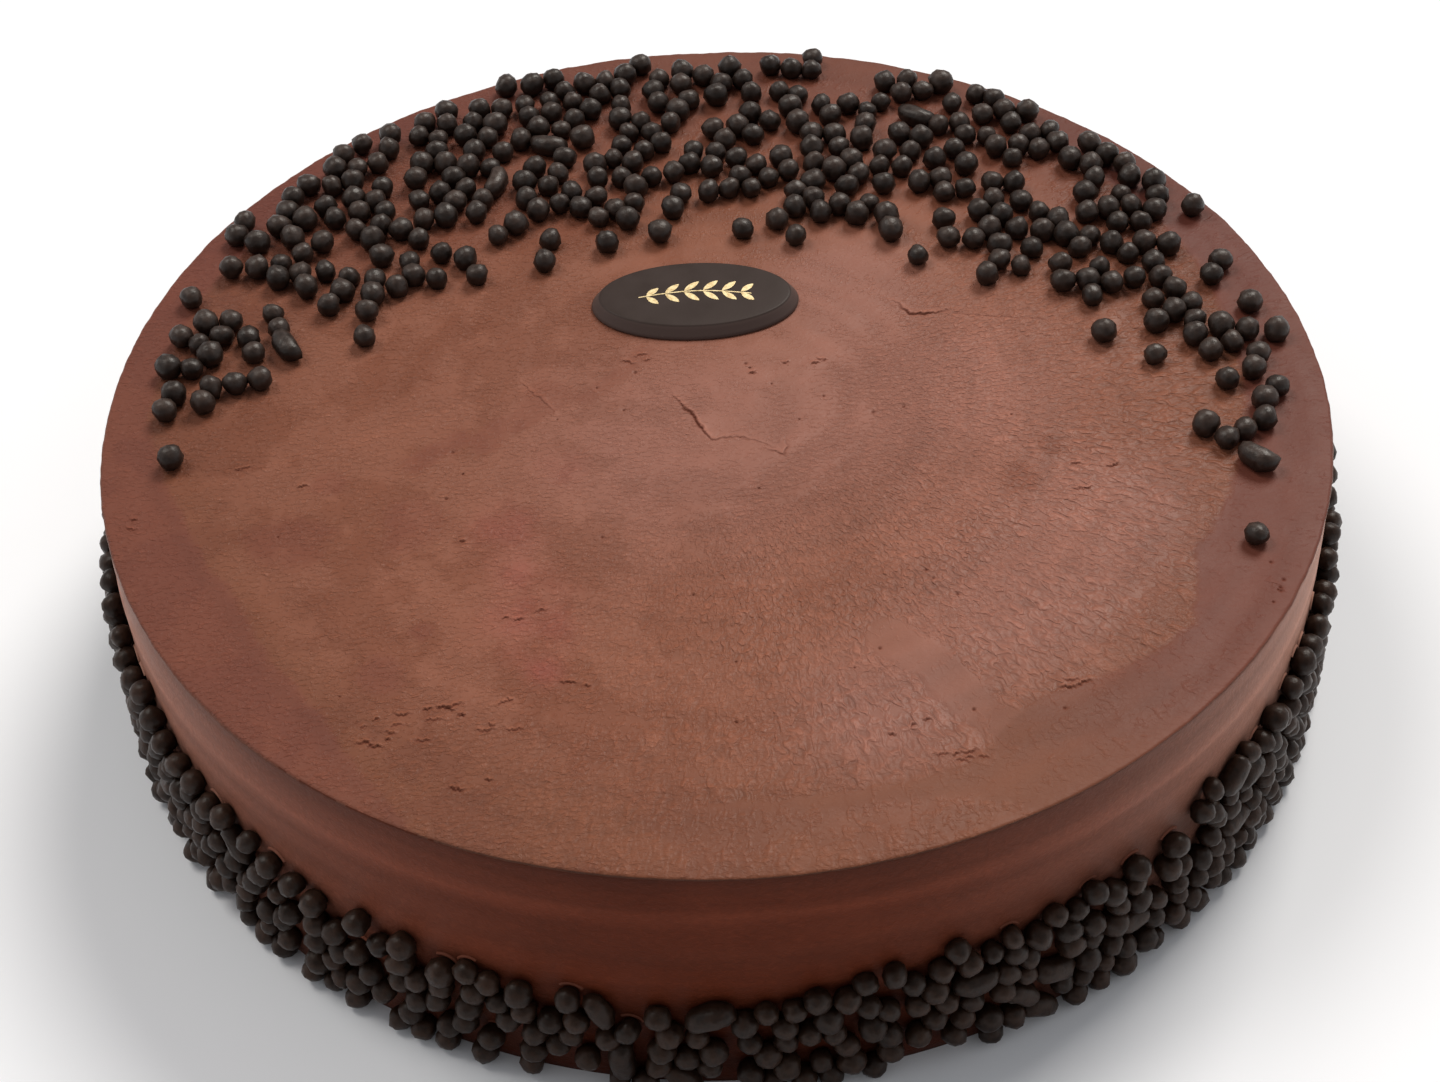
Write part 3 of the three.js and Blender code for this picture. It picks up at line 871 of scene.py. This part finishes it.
def lay_pearls(name, pearls, finish, seed):
    """Makes one mesh of pearls from their places, turns and radii, in the frame of the cake."""
    draw = np.random.RandomState(seed)
    sizes = []
    for pearl in pearls:
        uneven = 1 + PEARL_UNEVENNESS * draw.uniform(-1, 1, 3)
        longer = 1 + TWIN_LENGTHENING * (pearl["stretch"] - 1)
        sizes.append(pearl["radius"] * MM * uneven * (longer, 1, 1))
    values = {key: [pearl[key] for pearl in pearls] for key in ("lie", "open_side")}
    values["size"] = sizes
    values["is_twin"] = [int(pearl["stretch"] > 1) for pearl in pearls]
    values["tone"] = draw.uniform(*PEARL_TONES, len(pearls))
    places = [pearl["place"] for pearl in pearls]
    mesh = grown(name, places, values, pearl_tree, {**PEARL_SETTINGS, "Finish": finish})
    for vertex in mesh.vertices:
        vertex.co.z = max(vertex.co.z, 0.0)
    piece = put(name, mesh)
    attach(piece, "root")


top_pearls = [
    {"x": x, "y": y, "radius": PEARL_RADIUS, "stretch": TWIN_STRETCH, "turn": math.radians(degrees)}
    for x, y, degrees in TWINS
]
strew_top(top_pearls, PINCHES, 2024)
strew_top(top_pearls, LATE_PINCHES, 2025)
tumble = np.random.RandomState(21)
for pearl in top_pearls:
    pearl["radius"] *= PEARL_COAT
    pearl["place"] = (pearl["x"] * MM, pearl["y"] * MM, cake_height + (pearl["radius"] - PEARL_SINK) * MM)
    tilt = (0, 0) if pearl["stretch"] > 1 else tumble.uniform(-math.pi, math.pi, 2)
    pearl["lie"] = (tilt[0], tilt[1], pearl["turn"])
    pearl["open_side"] = (0, 0, 1)
pearl_coating = pearl_finish("dark_pearl", (0.007, 0.0038, 0.0027, 1), (0.044, 0.0265, 0.0205, 1), 0.30)
lay_pearls("pearls_top", top_pearls, pearl_coating, 22)

# The pearls on the side: the same pearls, pressed by the handful against the foot of the side.
# They pile up against the wall to a height that dips at the front, where more places stay bare.
BAND_HEIGHT = 38
BAND_DIP = 9.5
BAND_DIP_AZIMUTH = math.radians(-100)
BAND_DIP_WIDTH = math.radians(33)
BAND_RIPPLE = 1.4
SIDE_RISE = 7
SIDE_RISE_SHARPNESS = 8
BAND_FOOT = 0.4
DROP_CHOICES = 9
DROPS_MISSED = 120
BARE_SHARE = 0.02
BARE_SHARE_AT_DIP = 0.12
SIDE_TWIN_SHARE = 0.04
OPEN_OUTWARD = 0.8
OPEN_UPWARD = 0.6


def turn_between(start, end):
    """The smallest turn from one azimuth to another."""
    turn = end - start
    return turn - math.tau * round(turn / math.tau)


def band_dip(angle):
    return math.exp(-((turn_between(BAND_DIP_AZIMUTH, angle) / BAND_DIP_WIDTH) ** 2))


def band_height(angle):
    ripple = math.sin(9 * angle + 1) + 0.8 * math.sin(23 * angle)
    return BAND_HEIGHT - BAND_DIP * band_dip(angle) + BAND_RIPPLE * ripple


def resting_height(angle, radius, pearls):
    """Where a pearl dropped along the wall comes to rest, on the foot or on other pearls."""
    height = BAND_FOOT + radius
    for other in pearls:
        aside = (radius_mm + PEARL_RADIUS) * turn_between(other["azimuth"], angle)
        touch = TOUCHING * (other["radius"] * other["stretch"] + radius)
        if abs(aside) < touch:
            height = max(height, other["height"] + math.sqrt(touch**2 - aside**2))
    return height


def pack_side(pearls, rise, seed):
    """Piles pearls against the side until the band, raised on the left and right, is full."""
    draw = random_from(seed)
    missed = 0
    while missed < DROPS_MISSED:
        stretch = TWIN_STRETCH if draw() < SIDE_TWIN_SHARE else 1.0
        best = {"room": -math.inf}
        for _ in range(DROP_CHOICES):
            radius = pearl_radius(draw)
            angle = math.tau * draw()
            height = resting_height(angle, radius * stretch, pearls)
            limit = band_height(angle) + rise * math.cos(angle) ** SIDE_RISE_SHARPNESS
            room = limit - height - radius
            if room > best["room"]:
                best = {"room": room, "azimuth": angle, "height": height, "radius": radius}
        turn = math.tau * draw()
        bare = draw() < BARE_SHARE + BARE_SHARE_AT_DIP * band_dip(best["azimuth"])
        if best["room"] < 0:
            missed += 1
        else:
            pearls.append({**best, "stretch": stretch, "turn": turn, "bare": bare})


def by_the_wall(pearl, out, height):
    """A place at a pearl's azimuth, from its distance from the middle and its height in millimetres."""
    around = pearl["azimuth"]
    return (out * MM * math.cos(around), out * MM * math.sin(around), height * MM)


side_pearls = []
pack_side(side_pearls, 0, 77)
pack_side(side_pearls, SIDE_RISE, 78)
side_pearls = [pearl for pearl in side_pearls if not pearl["bare"]]
for pearl in side_pearls:
    pearl["radius"] *= PEARL_COAT
    pearl["place"] = by_the_wall(pearl, radius_mm + pearl["radius"] - PEARL_SINK, pearl["height"])
    around = pearl["azimuth"]
    pearl["open_side"] = (OPEN_OUTWARD * math.cos(around), OPEN_OUTWARD * math.sin(around), OPEN_UPWARD)
    if pearl["stretch"] == 1:
        pearl["lie"] = tuple(tumble.uniform(-math.pi, math.pi, 3))
    else:
        against = Matrix.Rotation(around, 3, "Z") @ Matrix.Rotation(math.pi / 2, 3, "Y")
        pearl["lie"] = tuple((against @ Matrix.Rotation(pearl["turn"], 3, "Z")).to_euler())
# The pearls of the band get a deeper and warmer copy of the finish: painted shade of one another and painted
# warm light from below
band_coating = pearl_finish("dark_pearl_band", (0.0055, 0.0027, 0.0017, 1), (0.038, 0.0185, 0.0115, 1), 0.2)
lay_pearls("pearls_side", side_pearls, band_coating, 23)

# The lips of cream over the highest pearls of the band: the same cream as the coat's wall.
# It was squeezed up in thin arcs where those pearls were pressed into the wall.
LIP_SHARE = 0.4
LIP_THICKNESS = 0.4 * MM
LIP_DROP = 0.5
LIP_START = 0.7
LIP_TAPER = (0.9, 0.1)
LIP_TILT = 0.35
LIP_SIZES = (0.98, 1.06)
LIP_TONES = (0.95, 1.2)
LIP_PALENESS = 0.12
CLEAR_ASIDE = 1.3
CLEAR_ABOVE = 3.2


def lip_nodes():
    """Puts a thin arc, tapered to both ends, on each point."""
    growth = Growth("lips_on_points", {"Thickness": "Float"})
    bow = {"Resolution": 9, "Radius": PEARL_RADIUS * PEARL_COAT * MM}
    bow |= {"Start Angle": LIP_START, "Sweep Angle": math.pi - 2 * LIP_START}
    arc = growth.add("GeometryNodeCurveArc", bow)
    along = growth.add("GeometryNodeSplineParameter", output="Factor")
    bulge = growth.maths("SINE", growth.maths("MULTIPLY", along, math.pi))
    taper = growth.maths("MULTIPLY_ADD", bulge, *LIP_TAPER)
    tapered = growth.add("GeometryNodeSetCurveRadius", {0: arc, "Radius": taper})
    circle = {"Resolution": 6, "Radius": growth.given("Thickness")}
    section = growth.add("GeometryNodeCurvePrimitiveCircle", circle)
    sweep = {"Curve": tapered, "Profile Curve": section, "Fill Caps": True}
    return growth.end(growth.lay(growth.add("GeometryNodeCurveToMesh", sweep), {}))


def is_uncovered(pearl):
    """Whether no other pearl of the band lies just above this one."""
    for other in side_pearls:
        aside = radius_mm * turn_between(other["azimuth"], pearl["azimuth"])
        above = other["height"] - pearl["height"]
        if abs(aside) < CLEAR_ASIDE * pearl["radius"] and 0 < above < CLEAR_ABOVE * pearl["radius"]:
            return False
    return True


lip_draw = np.random.RandomState(24)
lipped = [p for p in side_pearls if is_uncovered(p) and p["stretch"] == 1 and lip_draw.uniform() < LIP_SHARE]
lip_lies = []
for pearl in lipped:
    upright = Matrix.Rotation(pearl["azimuth"] + math.pi / 2, 3, "Z") @ Matrix.Rotation(math.pi / 2, 3, "X")
    tilted = upright @ Matrix.Rotation(lip_draw.uniform(-LIP_TILT, LIP_TILT), 3, "Z")
    lip_lies.append(tuple(tilted.to_euler()))
lip_sizes = [(p["radius"] / PEARL_RADIUS / PEARL_COAT * lip_draw.uniform(*LIP_SIZES),) * 3 for p in lipped]
lip_values = {"size": lip_sizes, "lie": lip_lies, "tone": lip_draw.uniform(*LIP_TONES, len(lipped))}
# Painted side light: the lips are paler towards the left and right, as on the wall
lip_values["paler"] = [max(LIP_PALENESS, math.cos(p["azimuth"]) ** 4) for p in lipped]
lip_places = [by_the_wall(p, radius_mm, p["height"] - LIP_DROP) for p in lipped]
lip_settings = {"Thickness": LIP_THICKNESS, "Finish": coat_mesh.materials[1]}
cream_lips = put("cream_lips", grown("cream_lips", lip_places, lip_values, lip_nodes(), lip_settings))
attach(cream_lips, "root")

# The plaque: a thin oval of dark chocolate cast in a mould, laid on the cream.
# Its sides lean in towards a flat top face with a soft edge.
PLAQUE_SEGMENTS = 128
PLAQUE_FOOT = 0.5 * MM
PLAQUE_LEAN = 1.8 * MM
PLAQUE_EDGE = 0.7 * MM
PLAQUE_CROWN = 0.12 * MM
LEAN_SHARE = 0.85
LEAN_ROWS = 4
EDGE_ROWS = 5
plaque_thickness = plaque_high.z - plaque_low.z


def plaque_profile():
    """Inset from the outline and height above the cream, from the foot of the plaque to its middle."""
    profile = [(PLAQUE_FOOT, 0.0), (0.15 * PLAQUE_FOOT, 0.3 * PLAQUE_FOOT), (0.0, PLAQUE_FOOT)]
    shoulder = plaque_thickness - PLAQUE_CROWN
    for i in range(1, LEAN_ROWS + 1):
        share = LEAN_SHARE * i / LEAN_ROWS
        profile.append((PLAQUE_LEAN * share, PLAQUE_FOOT + (shoulder - PLAQUE_FOOT) * share))
    start = profile[-1]
    for i in range(1, EDGE_ROWS + 1):
        share = i / EDGE_ROWS
        ease = 2 * share - share**2
        profile.append((start[0] + PLAQUE_EDGE * share, start[1] + (shoulder - start[1]) * ease))
    edge = profile[-1][0]
    for share in (0.2, 0.4, 0.6, 0.8):
        inset = edge + (plaque_half.y - edge) * share
        profile.append((inset, plaque_thickness - PLAQUE_CROWN * (1 - share) ** 2))
    return profile


plaque_corners = []
plaque_faces = []
outline_rows = plaque_profile()
for inset, rise in outline_rows:
    for i in range(PLAQUE_SEGMENTS):
        angle = math.tau * i / PLAQUE_SEGMENTS
        x = plaque_middle.x + (plaque_half.x - inset) * math.cos(angle)
        y = plaque_middle.y + (plaque_half.y - inset) * math.sin(angle)
        plaque_corners.append((x, y, cake_height + rise))
for row in range(len(outline_rows) - 1):
    for i in range(PLAQUE_SEGMENTS):
        j = (i + 1) % PLAQUE_SEGMENTS
        a = row * PLAQUE_SEGMENTS
        plaque_faces.append((a + i, a + j, a + PLAQUE_SEGMENTS + j, a + PLAQUE_SEGMENTS + i))
last = (len(outline_rows) - 1) * PLAQUE_SEGMENTS
plaque_faces.append(tuple(range(last, last + PLAQUE_SEGMENTS)))
plaque_faces.append(tuple(range(PLAQUE_SEGMENTS - 1, -1, -1)))
plaque_mesh = mesh_of("chocolate_plaque", plaque_corners, plaque_faces)
plaque_mesh.shade_smooth()
# The leaning sides are painted paler, as painted light
bevel_width = (1 - LEAN_SHARE) * PLAQUE_LEAN
bevel_rows = [min(1.0, max(0.0, (PLAQUE_LEAN - inset) / bevel_width)) for inset, _ in outline_rows]
store(plaque_mesh, {"lit_bevel": np.repeat(bevel_rows, PLAQUE_SEGMENTS)})


def plaque_finish():
    """Tempered dark chocolate: semi-gloss, with a faint bloom, sides painted paler as painted light, and a
    very fine grain.
    """
    finish = Finish("dark_chocolate")
    place = finish.place()
    bloom = finish.mottle(place, Scale=160, Detail=4)
    brown = finish.ramp(bloom, (0.3, (0.030, 0.019, 0.016, 1)), (0.75, (0.038, 0.025, 0.022, 1)))
    return finish.shade(
        Base_Color=finish.mix(finish.value("lit_bevel"), brown, (0.082, 0.056, 0.050, 1)),
        Roughness=finish.roughness(bloom, 0.4, 0.5),
        Normal=finish.bump(finish.mottle(place, Scale=1500, Detail=2), 0.06, 0.2 * MM),
        Specular_IOR_Level=0.12,
    )


plaque_mesh.materials.append(plaque_finish())
plaque = put("chocolate_plaque", plaque_mesh)
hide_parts("plaque")
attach(plaque, "root")

# The ornament on the plaque: a plain sprig of leaves in gold food colour.
# It is printed in a thin film on the plaque's top face, a bowed stem with pairs of leaves along it.
SPRIG_LENGTH = 25 * MM
SPRIG_RISE = 1.6 * MM
STEM_WIDTH = 0.3 * MM
STEM_STEPS = 40
LEAF_PAIRS = 6
FIRST_LEAF = 0.06
LEAVED_SHARE = 0.84
LEAF_LENGTH = 4.6 * MM
LEAF_WIDTH = 1.5 * MM
LEAF_ANGLE = 0.75
LEAF_GAP = 0.35
LEAF_FULLNESS = 0.8
LEAF_STEPS = 12
PRINT_THICKNESS = 0.06 * MM
print_height = cake_height + plaque_thickness
sprig_corners = []
sprig_faces = []


def sprig_point(share):
    """A point on the stem, which rises gently from left to right and back."""
    x = plaque_middle.x + SPRIG_LENGTH * (share - 0.5)
    y = plaque_middle.y + SPRIG_RISE * (math.sin(math.pi * share) - 0.5)
    return Vector((x, y))


def print_shape(outline):
    """Adds a flat printed shape, a closed outline raised by the thickness of the print."""
    start = len(sprig_corners)
    count = len(outline)
    for lift in (-PRINT_THICKNESS, PRINT_THICKNESS):
        sprig_corners.extend((p.x, p.y, print_height + lift) for p in outline)
    sprig_faces.append(tuple(range(start + count, start + 2 * count)))
    sprig_faces.append(tuple(range(start + count - 1, start - 1, -1)))
    for i in range(count):
        j = (i + 1) % count
        sprig_faces.append((start + i, start + j, start + count + j, start + count + i))


half_stem = Vector((0, STEM_WIDTH / 2))
stem_points = [sprig_point(i / STEM_STEPS) for i in range(STEM_STEPS + 1)]
print_shape([p + half_stem for p in reversed(stem_points)] + [p - half_stem for p in stem_points])
leaf_shares = [i / LEAF_STEPS for i in range(LEAF_STEPS)]
leaf_edge = [(t, -1) for t in leaf_shares] + [(1 - t, 1) for t in leaf_shares]
for pair in range(LEAF_PAIRS):
    share = FIRST_LEAF + LEAVED_SHARE * pair / (LEAF_PAIRS - 1)
    length = LEAF_LENGTH * (0.75 + 0.25 * math.sin(math.pi * share))
    for side in (-1, 1):
        direction = Vector((math.cos(LEAF_ANGLE), side * math.sin(LEAF_ANGLE)))
        across = Vector((-direction.y, direction.x)) * LEAF_WIDTH / 2
        root = sprig_point(share) + direction * LEAF_GAP * MM
        leaf = []
        for t, edge in leaf_edge:
            fullness = math.sin(math.pi * t) ** LEAF_FULLNESS
            leaf.append(root + direction * length * t + across * edge * fullness)
        print_shape(leaf)
sprig_mesh = mesh_of("gold_sprig", sprig_corners, sprig_faces)
sprig_bmesh = bmesh.new()
sprig_bmesh.from_mesh(sprig_mesh)
bmesh.ops.remove_doubles(sprig_bmesh, verts=sprig_bmesh.verts, dist=0.001 * MM)
bmesh.ops.recalc_face_normals(sprig_bmesh, faces=sprig_bmesh.faces)
sprig_bmesh.to_mesh(sprig_mesh)
sprig_bmesh.free()

# Gold food colour: pale, satin and a little worn
gold = Finish("gold_print")
wear = gold.mottle(gold.place(), Scale=1200, Detail=3)
worn_gold = gold.ramp(wear, (0.3, (0.55, 0.40, 0.19, 1)), (0.6, (0.83, 0.68, 0.40, 1)))
sprig_mesh.materials.append(gold.shade(Base_Color=worn_gold, Metallic=0.6, Roughness=0.4))
sprig = put("gold_sprig", sprig_mesh)
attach(sprig, "root")

# The studio: a plain pale floor, two broad warm lights behind the cake, and a room that is brighter to
# both sides. The camera sees plain white past the floor.
FLOOR_HALF = 4.0
floor_corners = [(x * FLOOR_HALF, y * FLOOR_HALF, 0) for x, y in ((-1, -1), (1, -1), (1, 1), (-1, 1))]
floor_mesh = mesh_of("floor", floor_corners, [(0, 1, 2, 3)])
floor_mesh.materials.append(Finish("pale_floor").shade(Base_Color=(0.85, 0.87, 0.92, 1), Roughness=0.9))
floor = put("floor", floor_mesh)

# Each light: name, strength, azimuth and elevation in degrees
SUN_SPREAD = math.radians(26)
SUN_COLOUR = (1.0, 0.95, 0.87)
SUNS = [("key", 2.4, 60, 48), ("second", 1.05, 150, 58)]
for name, strength, azimuth_degrees, elevation_degrees in SUNS:
    sun_data = bpy.data.lights.new(name, "SUN")
    sun_data.energy = strength
    sun_data.color = SUN_COLOUR
    sun_data.angle = SUN_SPREAD
    sun = put(name, sun_data)
    sun.rotation_euler = Euler((0, math.radians(90 - elevation_degrees), math.radians(azimuth_degrees)))

ROOM_LIGHT = 0.25
SIDE_LIGHT = 0.6
world = bpy.data.worlds.new("studio")
world.use_nodes = True
room = Nodes(world.node_tree)
background = room.tree.nodes["Background"]
background.inputs["Color"].default_value = (1, 1, 1, 1)
around_room = room.add("ShaderNodeTexCoord", output="Generated")
to_side = room.add("ShaderNodeSeparateXYZ", {0: around_room}, "X")
lit = room.maths("MULTIPLY_ADD", room.maths("MULTIPLY", to_side, to_side), SIDE_LIGHT, ROOM_LIGHT)
seen = room.add("ShaderNodeLightPath", output="Is Camera Ray")
room.feed(background.inputs["Strength"], room.maths("MAXIMUM", lit, seen))
bpy.context.scene.world = world
bpy.context.scene.view_settings.view_transform = "Standard"

# The camera stands in front of the cake and looks down on it, a little rolled, as the photograph was taken.
# Its distances are in radii of the cake, and its lens is given in pixels of the photograph.
CAMERA_BACK = 3.2125
CAMERA_UP = 2.8244
CAMERA_PITCH = math.radians(44.505)
CAMERA_ROLL = -0.03957
FOCAL_PIXELS = 2600
PHOTO_WIDTH = 1440
camera_data = bpy.data.cameras.new("camera")
camera_data.sensor_width = 36
camera_data.sensor_fit = "HORIZONTAL"
camera_data.lens = camera_data.sensor_width * FOCAL_PIXELS / PHOTO_WIDTH
camera = put("camera", camera_data)
camera.location = (0, -CAMERA_BACK * cake_radius, cake_height + CAMERA_UP * cake_radius)
aim = Matrix.Rotation(math.pi / 2 - CAMERA_PITCH, 3, "X") @ Matrix.Rotation(CAMERA_ROLL, 3, "Z")
camera.rotation_euler = aim.to_euler()
bpy.context.scene.camera = camera
